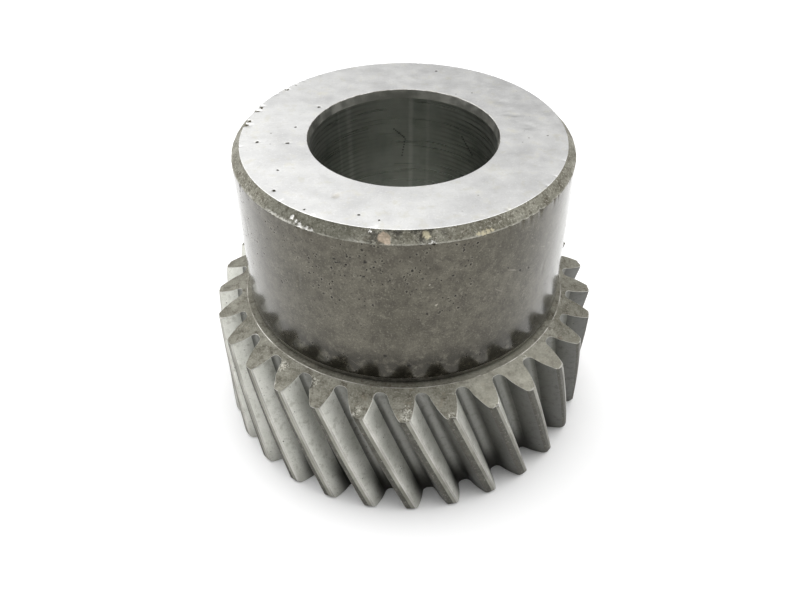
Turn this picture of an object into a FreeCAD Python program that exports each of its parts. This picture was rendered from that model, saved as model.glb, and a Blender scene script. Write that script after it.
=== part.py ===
"""Helical gear with a long ground sleeve.

Two steel pieces, shrunk together:
  gear_ring   - left-hand helical toothed ring with a cone-shaped upper face
  hub_sleeve  - bored sleeve; its shoulder sits on the ring, its spigot fills the ring's bore

Millimetres. +Z is the bore axis, pointing from the teeth to the plain end of the sleeve.
The origin is on the bore axis, in the plane of the toothed end face.
"""

import FreeCAD, Part
import math
import os

from FreeCAD import Vector as V

os.makedirs("parts", exist_ok=True)

# ---------------------------------------------------------------- tooth system
TEETH = 29
NORMAL_MODULE = 3.0
NORMAL_PRESSURE_ANGLE = 20.0      # degrees
HELIX_ANGLE = 19.5                # degrees, left hand
ADDENDUM = 1.0                    # times the normal module
DEDENDUM = 1.2                    # times the normal module
RACK_TIP_RADIUS = 0.38            # times the normal module, forms the root fillet
FLANK_THINNING = 0.04             # mm taken off each flank at the pitch circle for backlash
TIP_BREAK = 0.45                  # semi-topping chamfer along each tip edge
PHASE = 0.15                      # degrees; the tooth nearest -Y is centred here at TIP_Z, turning towards +X

# ---------------------------------------------------------------- gear ring
TIP_Z = 33.1                      # height of the tooth tips' upper corners
SEAT_Z = 36.0                     # flat turned face that the sleeve's shoulder sits on
LEDGE_R = 41.2                    # outer edge of that flat face, where the rough cone starts
END_BREAK = 0.8                   # chamfer round the tooth tips at the lower face
RING_TOP_BREAK = 1.2              # chamfer at the mouth of the ring's bore, clears the shoulder fillet
SEAM_BREAK = 0.35                 # small chamfers on both pieces where they meet in the lower face

# ---------------------------------------------------------------- hub sleeve
HUB_R = 40.0                      # ground outside diameter 80
SPIGOT_R = 31.5                   # nominal joint diameter 63
SHRINK = 0.03                     # radial interference of the shrink fit
BORE_R = 22.0                     # bore diameter 44
HEIGHT = 78.0
TOP_CHAMFER_R = 2.1               # radial
TOP_CHAMFER_Z = 2.3               # axial
LEAD_IN_R = 0.4                   # steep lead-in at the bore's upper mouth, radial
LEAD_IN_Z = 2.2                   # axial
BORE_FOOT_BREAK = 1.0             # 45 degree chamfer at the bore's lower mouth
RELIEF_DEPTH = 0.45               # grinding relief at the foot of the sleeve
RELIEF_TOP = 1.75                 # height of the relief's upper edge over the seat
RELIEF_FLAT = 1.3                 # height of the relief's floor over the seat
FOOT_BREAK = 0.35                 # corner of the shoulder, inside the relief
SHOULDER_FILLET = 0.8

# ---------------------------------------------------------------- derived tooth data
beta = math.radians(HELIX_ANGLE)
alpha_n = math.radians(NORMAL_PRESSURE_ANGLE)
alpha_t = math.atan(math.tan(alpha_n) / math.cos(beta))
module_t = NORMAL_MODULE / math.cos(beta)
pitch_r = module_t * TEETH / 2.0
base_r = pitch_r * math.cos(alpha_t)
tip_r = pitch_r + ADDENDUM * NORMAL_MODULE
root_r = pitch_r - DEDENDUM * NORMAL_MODULE
twist_per_mm = math.tan(beta) / pitch_r          # radians of turn per mm of height


def inv(a):
    return math.tan(a) - a


def half_gap(r):
    """Half the angle of the tooth gap at radius r, on the involute."""
    a = math.acos(min(1.0, base_r / r))
    half_tooth = math.pi / (2 * TEETH) - FLANK_THINNING / pitch_r + inv(alpha_t) - inv(a)
    return math.pi / TEETH - half_tooth


def fillet_points(n):
    """Root fillet of the half gap as (radius, angle from the gap's middle), cut by the rounded rack tip."""
    rho = RACK_TIP_RADIUS * NORMAL_MODULE
    depth = DEDENDUM * NORMAL_MODULE - rho
    x0 = math.pi * module_t / 4 - depth * math.tan(alpha_t) - rho / math.cos(alpha_t) + FLANK_THINNING
    reach = depth / math.tan(alpha_t)
    pts = []
    for i in range(n):
        # the rack tip's centre lies dx beside the pitch point
        dx = reach * i / (n - 1)
        shift = dx - x0                        # how far the rack has moved from its middle place
        length = math.hypot(dx, depth)
        qx = dx + rho * dx / length
        qy = pitch_r - depth - rho * depth / length
        turn = shift / pitch_r                 # the gear has turned by this much with the rack
        ang = math.atan2(qx, qy) - turn
        pts.append((math.hypot(qx, qy), ang))
    return pts


fillet = fillet_points(9)
flank_start = fillet[-1][0]
print("pitch d %.3f  tip d %.3f  root d %.3f  base d %.3f" % (2 * pitch_r, 2 * tip_r, 2 * root_r, 2 * base_r))
print("fillet from r %.3f to r %.3f, angle %.4f against involute %.4f deg" % (
    fillet[0][0], flank_start, math.degrees(fillet[-1][1]), math.degrees(half_gap(flank_start))))


def half_profile():
    """Half of the gap from its middle to the tip chamfer's lower edge, as (radius, angle)."""
    pts = [(root_r, 0.0)]
    if fillet[0][1] > 0.002:
        pts.append((root_r, fillet[0][1] * 0.5))
    pts += fillet
    r1 = tip_r - TIP_BREAK
    n = 10
    for i in range(1, n + 1):
        r = flank_start + (r1 - flank_start) * i / n
        pts.append((r, half_gap(r)))
    return pts


def on_circle(r, ang, z, turn):
    """Point at angle ang (from -Y towards +X), turned by the helix."""
    a = ang + turn
    return V(r * math.sin(a), -r * math.cos(a), z)


# the middle of a gap, half a pitch from the middle of the tooth at PHASE
gap_middle = math.radians(PHASE) + math.pi / TEETH


def gap_wire(z, index):
    """Closed outline of one gap at height z. Lower down, the left-hand teeth lie further towards +X."""
    turn = gap_middle + 2 * math.pi * index / TEETH + twist_per_mm * (TIP_Z - z)
    half = half_profile()
    full = [(r, -a) for r, a in reversed(half)] + [(r, a) for r, a in half[1:]]
    curve = Part.BSplineCurve()
    curve.interpolate([on_circle(r, a, z, turn) for r, a in full])
    # 45 degree tip chamfer, carried past the tip circle
    out_r = tip_r + 1.2
    out_a = half[-1][1] + (out_r - half[-1][0]) / tip_r
    left_in, right_in = full[0], full[-1]
    p = [on_circle(right_in[0], right_in[1], z, turn), on_circle(out_r, out_a, z, turn),
         on_circle(out_r, -out_a, z, turn), on_circle(left_in[0], left_in[1], z, turn)]
    edges = [curve.toShape()] + [Part.makeLine(p[i], p[i + 1]) for i in range(3)]
    return Part.Wire(edges)


def gap_cutter(index):
    z0, z1, n = -1.5, SEAT_Z + 1.5, 10
    wires = [gap_wire(z0 + (z1 - z0) * i / (n - 1), index) for i in range(n)]
    return Part.makeLoft(wires, True, False)


def revolved(points):
    """Solid of revolution about Z from a closed outline. A point is (r, z), or (r, z, (mr, mz)) for an arc that reaches it through (mr, mz)."""
    edges = []
    m = len(points)
    for i in range(m):
        a, b = points[i], points[(i + 1) % m]
        pa, pb = V(a[0], 0, a[1]), V(b[0], 0, b[1])
        if len(b) == 3:
            edges.append(Part.Arc(pa, V(b[2][0], 0, b[2][1]), pb).toShape())
        else:
            edges.append(Part.makeLine(pa, pb))
    face = Part.Face(Part.Wire(edges))
    return face.revolve(V(0, 0, 0), V(0, 0, 1), 360)


# ---------------------------------------------------------------- gear ring
blank = revolved([
    (SPIGOT_R, SEAM_BREAK),
    (SPIGOT_R + SEAM_BREAK, 0.0),
    (tip_r - END_BREAK, 0.0),
    (tip_r, END_BREAK),
    (tip_r, TIP_Z),
    (LEDGE_R, SEAT_Z),
    (SPIGOT_R + RING_TOP_BREAK, SEAT_Z),
    (SPIGOT_R, SEAT_Z - RING_TOP_BREAK),
])
gear_ring = blank
cutters = [gap_cutter(i) for i in range(TEETH)]
gear_ring = blank.cut(Part.makeCompound(cutters))
gear_ring = gear_ring.Solids[0] if len(gear_ring.Solids) == 1 else gear_ring
print("gear_ring: solids %d valid %s volume %.1f mm3" % (len(gear_ring.Solids), gear_ring.isValid(), gear_ring.Volume))

# ---------------------------------------------------------------- hub sleeve
sr = SPIGOT_R + SHRINK
f = SHOULDER_FILLET
c45 = f * (1 - math.sqrt(0.5))
relief_r = HUB_R - RELIEF_DEPTH
hub_sleeve = revolved([
    (BORE_R, BORE_FOOT_BREAK),
    (BORE_R + BORE_FOOT_BREAK, 0.0),
    (sr - SEAM_BREAK, 0.0),
    (sr, SEAM_BREAK),
    (sr, SEAT_Z - f),
    (sr + f, SEAT_Z, (sr + c45, SEAT_Z - c45)),
    (relief_r - FOOT_BREAK, SEAT_Z),
    (relief_r, SEAT_Z + FOOT_BREAK),
    (relief_r, SEAT_Z + RELIEF_FLAT),
    (HUB_R, SEAT_Z + RELIEF_TOP),
    (HUB_R, HEIGHT - TOP_CHAMFER_Z),
    (HUB_R - TOP_CHAMFER_R, HEIGHT),
    (BORE_R + LEAD_IN_R, HEIGHT),
    (BORE_R, HEIGHT - LEAD_IN_Z),
])
print("hub_sleeve: valid %s volume %.1f mm3" % (hub_sleeve.isValid(), hub_sleeve.Volume))

gear_ring.exportStep("parts/gear_ring.step")
hub_sleeve.exportStep("parts/hub_sleeve.step")
print("shared volume of the shrink fit %.1f mm3" % gear_ring.common(hub_sleeve).Volume)
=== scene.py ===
import math

import bpy
import numpy as np
from mathutils import Matrix, Vector


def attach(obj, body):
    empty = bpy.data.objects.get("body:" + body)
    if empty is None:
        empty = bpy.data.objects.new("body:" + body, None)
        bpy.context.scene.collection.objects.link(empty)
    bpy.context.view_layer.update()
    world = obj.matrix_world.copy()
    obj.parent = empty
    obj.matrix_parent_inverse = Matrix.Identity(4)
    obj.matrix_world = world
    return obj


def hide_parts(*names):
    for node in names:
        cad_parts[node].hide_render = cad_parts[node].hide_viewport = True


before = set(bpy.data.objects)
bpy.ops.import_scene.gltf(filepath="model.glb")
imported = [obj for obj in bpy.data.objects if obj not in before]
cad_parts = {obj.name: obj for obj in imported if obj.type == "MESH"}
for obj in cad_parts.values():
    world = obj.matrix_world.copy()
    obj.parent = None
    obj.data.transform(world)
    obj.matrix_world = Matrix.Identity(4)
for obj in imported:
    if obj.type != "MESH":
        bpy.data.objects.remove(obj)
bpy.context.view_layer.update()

MM = 0.001

# =====================================================================================
# Sizes of the object, in millimetres, the same as the CAD frame's
# =====================================================================================
TEETH = 29
MN = 3.0
BETA = math.radians(19.5)
ALPHA_T = math.atan(math.tan(math.radians(20.0)) / math.cos(BETA))
MT = MN / math.cos(BETA)
PITCH_R = MT * TEETH / 2
BASE_R = PITCH_R * math.cos(ALPHA_T)
TIP_R = PITCH_R + MN
ROOT_R = PITCH_R - 1.2 * MN
THIN = 0.04
TIP_BREAK = 0.45
PHASE = math.radians(0.15)
TIP_Z = 33.1
SEAT_Z = 36.0
LEDGE_R = 41.2
HUB_R = 40.0
SPIGOT_R = 31.5
BORE_R = 22.0
HEIGHT = 78.0
K = math.tan(BETA) / PITCH_R
SLOPE = (SEAT_Z - TIP_Z) / (TIP_R - LEDGE_R)
END_BREAK = 0.8


# =====================================================================================
# Smooth value noise on points in millimetres, the same every run
# =====================================================================================
def _hash(i, j, k, seed):
    h = (i * 73856093) ^ (j * 19349663) ^ (k * 83492791) ^ (seed * 2654435761)
    h &= 0xFFFFFFFF
    h = ((h ^ (h >> 16)) * 0x45D9F3B) & 0xFFFFFFFF
    h = ((h ^ (h >> 16)) * 0x45D9F3B) & 0xFFFFFFFF
    return ((h ^ (h >> 16)) & 0xFFFFFF) / float(0xFFFFFF)


def vnoise(p, size, seed=0):
    """Value noise from 0 to 1, with features of about that size in millimetres."""
    q = np.asarray(p, float) / size + 1000.0
    f = np.floor(q)
    t = q - f
    t = t * t * (3 - 2 * t)
    i = f.astype(np.int64)
    out = 0.0
    for dx in (0, 1):
        for dy in (0, 1):
            for dz in (0, 1):
                w = ((t[:, 0] if dx else 1 - t[:, 0]) * (t[:, 1] if dy else 1 - t[:, 1]) * (t[:, 2] if dz else 1 - t[:, 2]))
                out = out + w * _hash(i[:, 0] + dx, i[:, 1] + dy, i[:, 2] + dz, seed)
    return out


def fbm(p, size, octaves=3, seed=0):
    out, amp, total = 0.0, 1.0, 0.0
    for o in range(octaves):
        out = out + amp * vnoise(p, size / 2**o, seed + 17 * o)
        total += amp
        amp *= 0.5
    return out / total


# =====================================================================================
# A closed grid of points (rows x columns, both wrapping round) as a mesh
# =====================================================================================
def grid_mesh(name, points, face_material, materials, flip=False):
    rows, cols = points.shape[:2]
    n = rows * cols
    co = (points.reshape(-1, 3) * MM).astype(np.float32)
    i, j = np.meshgrid(np.arange(rows), np.arange(cols), indexing="ij")
    i2, j2 = (i + 1) % rows, (j + 1) % cols
    quads = np.stack([i * cols + j, i * cols + j2, i2 * cols + j2, i2 * cols + j], -1).reshape(-1, 4)
    if flip:
        quads = quads[:, ::-1]
    me = bpy.data.meshes.new(name)
    me.vertices.add(n)
    me.vertices.foreach_set("co", co.ravel())
    me.loops.add(len(quads) * 4)
    me.loops.foreach_set("vertex_index", quads.astype(np.int32).ravel())
    me.polygons.add(len(quads))
    me.polygons.foreach_set("loop_start", np.arange(0, len(quads) * 4, 4, dtype=np.int32))
    me.polygons.foreach_set("loop_total", np.full(len(quads), 4, np.int32))
    for m in materials:
        me.materials.append(m)
    me.polygons.foreach_set("material_index", np.asarray(face_material, np.int32).ravel())
    me.polygons.foreach_set("use_smooth", np.ones(len(quads), bool))
    me.update(calc_edges=True)
    me.validate()
    ob = bpy.data.objects.new(name, me)
    bpy.context.scene.collection.objects.link(ob)
    return ob


def signed_volume(ob):
    me = ob.data
    me.calc_loop_triangles()
    co = np.zeros(len(me.vertices) * 3, np.float32)
    me.vertices.foreach_get("co", co)
    co = co.reshape(-1, 3).astype(float)
    tri = np.zeros(len(me.loop_triangles) * 3, np.int32)
    me.loop_triangles.foreach_get("vertices", tri)
    a, b, c = (co[tri.reshape(-1, 3)[:, k]] for k in range(3))
    return float(np.einsum("ij,ij->i", a, np.cross(b, c)).sum() / 6)


# =====================================================================================
# Material building blocks
# =====================================================================================
class Nodes:
    def __init__(self, name):
        self.mat = bpy.data.materials.new(name)
        self.mat.use_nodes = True
        self.nt = self.mat.node_tree
        self.nt.nodes.clear()
        self.out = self.nt.nodes.new("ShaderNodeOutputMaterial")
        self.bsdf = self.nt.nodes.new("ShaderNodeBsdfPrincipled")
        self.nt.links.new(self.bsdf.outputs[0], self.out.inputs[0])
        tc = self.nt.nodes.new("ShaderNodeTexCoord")
        s = self.nt.nodes.new("ShaderNodeVectorMath")
        s.operation = "SCALE"
        s.inputs["Scale"].default_value = 1000.0
        self.nt.links.new(tc.outputs["Object"], s.inputs[0])
        self.mm = s.outputs[0]  # object coordinates in millimetres

    def link(self, a, b):
        self.nt.links.new(a, b)

    def put(self, socket, value):
        if isinstance(value, bpy.types.NodeSocket):
            self.link(value, socket)
        elif isinstance(value, (tuple, list)) and len(value) == 3 and socket.type == "RGBA":
            socket.default_value = (*value, 1.0)
        else:
            socket.default_value = value

    def math(self, op, a, b=None, c=None, clamp=False):
        n = self.nt.nodes.new("ShaderNodeMath")
        n.operation = op
        n.use_clamp = clamp
        for k, v in enumerate((a, b, c)):
            if v is not None:
                self.put(n.inputs[k], v)
        return n.outputs[0]

    def vec(self, op, a, b=None, scale=None):
        n = self.nt.nodes.new("ShaderNodeVectorMath")
        n.operation = op
        self.put(n.inputs[0], a)
        if b is not None:
            self.put(n.inputs[1], b)
        if scale is not None:
            self.put(n.inputs["Scale"], scale)
        return n.outputs["Value"] if op in ("LENGTH", "DISTANCE", "DOT_PRODUCT") else n.outputs[0]

    def xyz(self, v=None):
        n = self.nt.nodes.new("ShaderNodeSeparateXYZ")
        self.link(v or self.mm, n.inputs[0])
        return n.outputs[0], n.outputs[1], n.outputs[2]

    def combine(self, x, y, z):
        n = self.nt.nodes.new("ShaderNodeCombineXYZ")
        for k, v in enumerate((x, y, z)):
            self.put(n.inputs[k], v)
        return n.outputs[0]

    def noise(self, size, detail=3.0, rough=0.55, v=None, stretch=None, distortion=0.0, seed=0.0):
        """Noise 0..1 with features of about that size in millimetres."""
        n = self.nt.nodes.new("ShaderNodeTexNoise")
        n.noise_dimensions = "3D"
        n.inputs["Scale"].default_value = 1.0 / size
        n.inputs["Detail"].default_value = detail
        n.inputs["Roughness"].default_value = rough
        n.inputs["Distortion"].default_value = distortion
        src = v or self.mm
        if stretch:
            src = self.vec("MULTIPLY", src, stretch)
        if seed:
            src = self.vec("ADD", src, (seed * 13.7, seed * 7.3, seed * 3.1))
        self.link(src, n.inputs["Vector"])
        return n.outputs["Fac"]

    def voronoi(self, size, feature="F1", v=None, rnd=1.0, seed=0.0, out="Distance"):
        n = self.nt.nodes.new("ShaderNodeTexVoronoi")
        n.feature = feature
        n.inputs["Scale"].default_value = 1.0 / size
        n.inputs["Randomness"].default_value = rnd
        src = v or self.mm
        if seed:
            src = self.vec("ADD", src, (seed * 11.3, seed * 5.9, seed * 8.7))
        self.link(src, n.inputs["Vector"])
        return n.outputs[out]

    def ramp(self, value, lo, hi, a=0.0, b=1.0, smooth=True):
        """Maps lo..hi to a..b, held at the ends."""
        n = self.nt.nodes.new("ShaderNodeMapRange")
        n.interpolation_type = "SMOOTHSTEP" if smooth else "LINEAR"
        n.clamp = True
        for k, v in (("Value", value), ("From Min", lo), ("From Max", hi), ("To Min", a), ("To Max", b)):
            self.put(n.inputs[k], v)
        return n.outputs[0]

    def mix(self, fac, a, b, blend="MIX"):
        n = self.nt.nodes.new("ShaderNodeMix")
        n.data_type = "RGBA"
        n.blend_type = blend
        n.clamp_factor = True
        self.put(n.inputs[0], fac)
        self.put(n.inputs[6], a)
        self.put(n.inputs[7], b)
        return n.outputs[2]

    def fmix(self, fac, a, b):
        n = self.nt.nodes.new("ShaderNodeMix")
        n.data_type = "FLOAT"
        self.put(n.inputs[0], fac)
        self.put(n.inputs[2], a)
        self.put(n.inputs[3], b)
        return n.outputs[0]

    def polar(self):
        """(radius, angle from -Y towards +X in degrees, height), in millimetres."""
        x, y, z = self.xyz()
        r = self.vec("LENGTH", self.combine(x, y, 0.0))
        ang = self.math("MULTIPLY", self.math("ARCTAN2", x, self.math("MULTIPLY", y, -1.0)), 180 / math.pi)
        return r, ang, z

    def spots(self, places, edge=0.35, wobble=0.35, wobble_size=0.7, stretch=None):
        """1 inside blobs, 0 outside. places are (x, y, z, radius) in millimetres."""
        src = self.mm
        if wobble:
            n1 = self.noise(wobble_size, 2, seed=3.3)
            n2 = self.noise(wobble_size, 2, seed=9.1)
            n3 = self.noise(wobble_size, 2, seed=5.7)
            off = self.vec("SCALE", self.vec("SUBTRACT", self.combine(n1, n2, n3), (0.5, 0.5, 0.5)), scale=wobble * 4)
            src = self.vec("ADD", src, off)
        total = None
        for x, y, z, r in places:
            a, b = src, (x, y, z)
            if stretch:
                a, b = self.vec("MULTIPLY", src, stretch), tuple(p * q for p, q in zip(b, stretch))
            d = self.vec("DISTANCE", a, b)
            m = self.ramp(d, r * (1 + edge), r * (1 - edge))
            total = m if total is None else self.math("MAXIMUM", total, m)
        return total

    def bump(self, height, strength, distance_mm, normal=None):
        n = self.nt.nodes.new("ShaderNodeBump")
        n.inputs["Strength"].default_value = strength
        n.inputs["Distance"].default_value = distance_mm * MM
        self.put(n.inputs["Height"], height)
        if normal is not None:
            self.link(normal, n.inputs["Normal"])
        return n.outputs[0]

    def done(self, color, rough, metallic=1.0, normal=None):
        self.put(self.bsdf.inputs["Base Color"], color)
        self.put(self.bsdf.inputs["Roughness"], rough)
        self.put(self.bsdf.inputs["Metallic"], metallic)
        if normal is not None:
            self.link(normal, self.bsdf.inputs["Normal"])
        return self.mat


# =====================================================================================
# Materials
# =====================================================================================
# marks seen on the object, (x, y, z, radius) in millimetres
TOP_PITS = [
    (-20.7, 13.2, 78, 0.42), (-25.4, 3.3, 78, 0.32), (-33.6, -3.6, 78, 0.42), (-26.5, -4.1, 78, 0.42),
    (-27.5, -15.7, 78, 0.30), (-27.35, -23.8, 78, 0.42), (8.6, 32.9, 78, 0.34), (-9.1, -32.8, 78, 0.30),
    (-4.9, -34.6, 78, 0.28), (-20.3, -30.8, 78, 0.26),
]
TOP_SMUDGE = [(-14.2, -25.9, 78, 0.85)]
RIM_CHIPS = [(-37.4, 4.6, 78, 0.75), (-36.8, 6.2, 77.9, 0.5), (-35.5, 11.3, 78, 0.6), (-34.7, 12.9, 78, 0.4), (-29.5, 22.6, 78, 0.42), (-27.7, 25.0, 78, 0.3)]
COPPER = [(-3.9, -38.9, 76.7, 1.25), (-3.3, -39.4, 76.0, 0.8)]
GOLD = [(4.6, -38.5, 77.1, 0.75), (15.0, -36.8, 75.9, 0.42), (16.0, -36.35, 75.95, 0.5), (17.0, -35.9, 76.0, 0.5), (17.9, -35.4, 76.0, 0.4)]
TIP_SCUFFS = [
    (-21.5, -38.4, 35.0, 1.3), (-11.0, -47.6, 33.2, 1.0), (-10.4, -46.4, 33.9, 0.8), (0.2, -48.0, 33.4, 1.1), (0.8, -46.4, 34.0, 0.9),
    (11.0, -47.8, 33.2, 0.9), (21.1, -44.3, 33.3, 0.8), (30.9, -36.5, 33.6, 0.8), (-31.0, -37.6, 33.3, 0.9), (-28.5, -33.0, 34.8, 1.2),
    (-25.0, -39.5, 34.0, 1.0), (-36.5, -24.0, 34.8, 1.0), (12.5, -42.0, 35.2, 0.8), (29.0, -31.0, 35.3, 0.8),
]
NICKS = [
    (-22.9, -31.7, 76.7, 0.42), (-21.3, -33.5, 76.0, 0.5), (-19.8, -34.5, 76.0, 0.42), (-18.7, -35.2, 75.8, 0.4),
    (6.0, -39.4, 75.8, 0.45), (5.2, -39.6, 75.7, 0.3), (-22.0, -32.6, 76.4, 0.3), (-6.7, -37.7, 77.6, 0.35),
]


# bright bands painted on the bore wall as reflections: (x, y, half width, strength)
BORE_REFLECTION_BANDS = [(1.96, 21.91, 0.040, 0.55), (-13.84, 17.10, 0.050, 0.50), (-16.19, 14.90, 0.030, 0.35), (6.33, 21.07, 0.030, 0.25)]
BORE_SCRATCH = [
    (-2.48, 21.86, 67.10, 0.22), (-2.05, 21.90, 66.69, 0.22), (-1.62, 21.94, 66.27, 0.22), (-1.18, 21.97, 65.86, 0.22), (-0.75, 21.99, 65.46, 0.22), (-0.31, 22.00, 65.05, 0.22), (0.13, 22.00, 64.66, 0.22), (0.39, 22.00, 64.06, 0.20), (0.26, 22.00, 63.26, 0.20), (0.12, 22.00, 62.46, 0.20), (-0.01, 22.00, 61.66, 0.20), (-0.15, 22.00, 60.85, 0.20), (-0.28, 22.00, 60.04, 0.20), (-0.42, 22.00, 59.23, 0.20), (14.93, 16.16, 67.93, 0.22), (15.25, 15.86, 67.45, 0.22), (15.57, 15.54, 66.98, 0.22), (15.90, 15.21, 66.52, 0.22), (16.22, 14.87, 66.06, 0.22), (16.54, 14.51, 65.62, 0.22), (16.86, 14.14, 65.18, 0.22), (17.17, 13.75, 64.75, 0.22), (17.49, 13.35, 64.33, 0.22),
]


def on_od(places):
    """(angle from -Y towards +X in degrees, height, radius) as points on the sleeve's outside."""
    return [(HUB_R * math.sin(math.radians(a)), -HUB_R * math.cos(math.radians(a)), z, r) for a, z, r in places]


OD_SPECKS = on_od([
    (-11.3, 70.9, 0.34), (-8.3, 71.2, 0.24), (-10.8, 68.9, 0.22), (-12.1, 73.9, 0.22), (-20.9, 70.3, 0.26), (-19.0, 69.8, 0.18),
    (18.6, 68.8, 0.22), (20.2, 65.1, 0.20), (38.9, 62.3, 0.28), (43.2, 61.5, 0.24), (1.6, 41.9, 0.40), (-6.0, 44.8, 0.34),
    (-19.9, 59.4, 0.22), (-22.7, 61.9, 0.22), (7.1, 57.2, 0.30), (11.1, 57.4, 0.26), (33.6, 64.6, 0.24), (17.9, 74.3, 0.20),
])
OD_LIGHTS = on_od([(7.8, 65.2, 0.22), (9.8, 59.5, 0.24), (8.6, 64.4, 0.15), (-31.0, 66.0, 0.18)])
OD_CLUSTER = on_od([(-9.0, 69.5, 4.6), (-4.0, 66.5, 3.4), (-15.0, 71.0, 3.2), (5.0, 70.5, 3.4), (0.0, 72.5, 2.6)])
OD_STAINS = on_od([(1.5, 73.0, 2.2), (6.0, 71.3, 2.4), (8.5, 69.2, 1.7), (-1.0, 43.4, 1.5), (3.5, 42.8, 1.2), (-7.0, 43.0, 1.3), (-15.5, 43.4, 1.2)])


def mat_ground_face():
    """Flat face, ground bright, faintly stained and bruised."""
    g = Nodes("ground_face")
    stain = g.noise(11, 3, 0.6, seed=1)
    stain2 = g.noise(4.2, 3, 0.6, seed=2)
    fine = g.noise(0.8, 2, 0.6, seed=4)
    col = g.mix(g.ramp(stain, 0.35, 0.68), (0.66, 0.66, 0.65), (0.56, 0.56, 0.555))
    col = g.mix(g.ramp(stain2, 0.56, 0.78, 0, 0.55), col, (0.60, 0.585, 0.50))
    col = g.mix(g.ramp(fine, 0.52, 0.74, 0, 0.30), col, (0.47, 0.465, 0.44))
    col = g.mix(g.ramp(g.noise(0.45, 2, seed=5), 0.45, 0.30, 0, 0.35), col, (0.80, 0.80, 0.79))
    col = g.mix(g.ramp(g.noise(2.6, 4, 0.65, seed=7), 0.54, 0.70, 0, 0.40), col, (0.56, 0.545, 0.46))
    # grinding lines: long, nearly straight and shallow
    lines = g.noise(1.0, 3, 0.7, stretch=(0.035, 2.6, 1.0), seed=6, distortion=0.15)
    col = g.mix(g.ramp(lines, 0.35, 0.7, 0, 0.16), col, (0.46, 0.46, 0.46))
    pits = g.spots(TOP_PITS, edge=0.5, wobble=0.16, wobble_size=0.6)
    col = g.mix(pits, col, (0.045, 0.04, 0.03))
    col = g.mix(g.math("MULTIPLY", g.spots(TOP_SMUDGE, edge=0.7, wobble=0.3, wobble_size=0.9), 0.35), col, (0.30, 0.26, 0.18))
    chips = g.spots(RIM_CHIPS, edge=0.35, wobble=0.4, wobble_size=0.8)
    col = g.mix(chips, col, (0.07, 0.06, 0.035))
    specks = g.math("MULTIPLY", g.ramp(g.voronoi(3.4, seed=3), 0.10, 0.05), g.ramp(g.noise(9, 1, seed=8), 0.56, 0.66))
    col = g.mix(g.math("MULTIPLY", specks, 0.7), col, (0.12, 0.11, 0.09))
    rough = g.ramp(g.math("ADD", stain2, g.math("MULTIPLY", lines, 0.6)), 0.4, 1.2, 0.30, 0.44)
    rough = g.fmix(g.math("MAXIMUM", pits, chips), rough, 0.8)
    h = g.math("ADD", g.math("MULTIPLY", g.noise(9, 2, seed=12), 1.0), g.math("MULTIPLY", lines, 0.10))
    n = g.bump(h, 0.5, 0.10)
    n = g.bump(g.math("MULTIPLY", g.math("MAXIMUM", pits, chips), -1.0), 0.5, 0.10, n)
    return g.done(col, rough, 1.0, n)


def mat_scale(name="forged_scale", dark=1.0, rings=False):
    """Brown-grey oxide skin of a rough machined or forged surface."""
    g = Nodes(name)
    a = g.noise(5.5, 4, 0.6, seed=21)
    b = g.noise(1.6, 4, 0.65, seed=22)
    c = g.noise(0.45, 3, 0.7, seed=23)
    base = g.mix(g.ramp(a, 0.32, 0.68), tuple(v * dark for v in (0.170, 0.162, 0.122)), tuple(v * dark for v in (0.300, 0.292, 0.238)))
    base = g.mix(g.ramp(b, 0.50, 0.68, 0, 0.8), base, tuple(v * dark for v in (0.115, 0.100, 0.072)))
    amount = 0.45 if rings else 0.75
    base = g.mix(g.ramp(c, 0.52, 0.70, 0, amount), base, tuple(v * dark for v in (0.52, 0.50, 0.44)))
    base = g.mix(g.ramp(c, 0.46, 0.32, 0, amount), base, tuple(v * dark for v in (0.055, 0.048, 0.034)))
    h = g.math("ADD", g.math("MULTIPLY", b, 0.6), g.math("MULTIPLY", c, 0.5))
    if rings:
        r, ang, z = g.polar()
        wav = g.math("SINE", g.math("ADD", g.math("MULTIPLY", r, 2 * math.pi / 0.62), g.math("MULTIPLY", g.noise(7, 2, seed=31), 3.0)))
        amount = g.ramp(g.noise(6, 2, seed=33), 0.35, 0.7, 0.1, 1.0)
        wav = g.math("MULTIPLY", wav, amount)
        h = g.math("ADD", h, g.math("MULTIPLY", wav, 0.06))
        base = g.mix(g.ramp(wav, -0.2, 1.0, 0, 0.12), base, tuple(v * dark for v in (0.42, 0.40, 0.36)))
        rust = g.ramp(g.noise(2.4, 3, 0.6, seed=35), 0.58, 0.74, 0, 0.25)
        base = g.mix(rust, base, (0.20, 0.155, 0.10))
        # painted light: the face lighter over the front right, where it catches more light
        front_right_light_mask = g.math("MULTIPLY", g.ramp(ang, 10.0, 26.0), g.ramp(ang, 60.0, 44.0))
        base = g.mix(g.math("MULTIPLY", front_right_light_mask, 0.32), base, (0.46, 0.45, 0.38))
        scuffs = g.math("MULTIPLY", g.spots(TIP_SCUFFS, edge=0.8, wobble=0.8, wobble_size=1.3), g.ramp(c, 0.44, 0.58))
        base = g.mix(g.math("MULTIPLY", scuffs, 0.8), base, (0.56, 0.55, 0.49))
        blots = g.math("MULTIPLY", g.spots(TIP_SCUFFS, edge=0.9, wobble=0.8, wobble_size=1.3), g.ramp(c, 0.42, 0.34))
        base = g.mix(g.math("MULTIPLY", blots, 0.7), base, (0.045, 0.04, 0.03))
    rough = g.ramp(b, 0.3, 0.7, 0.50, 0.68)
    return g, base, rough, h


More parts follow.
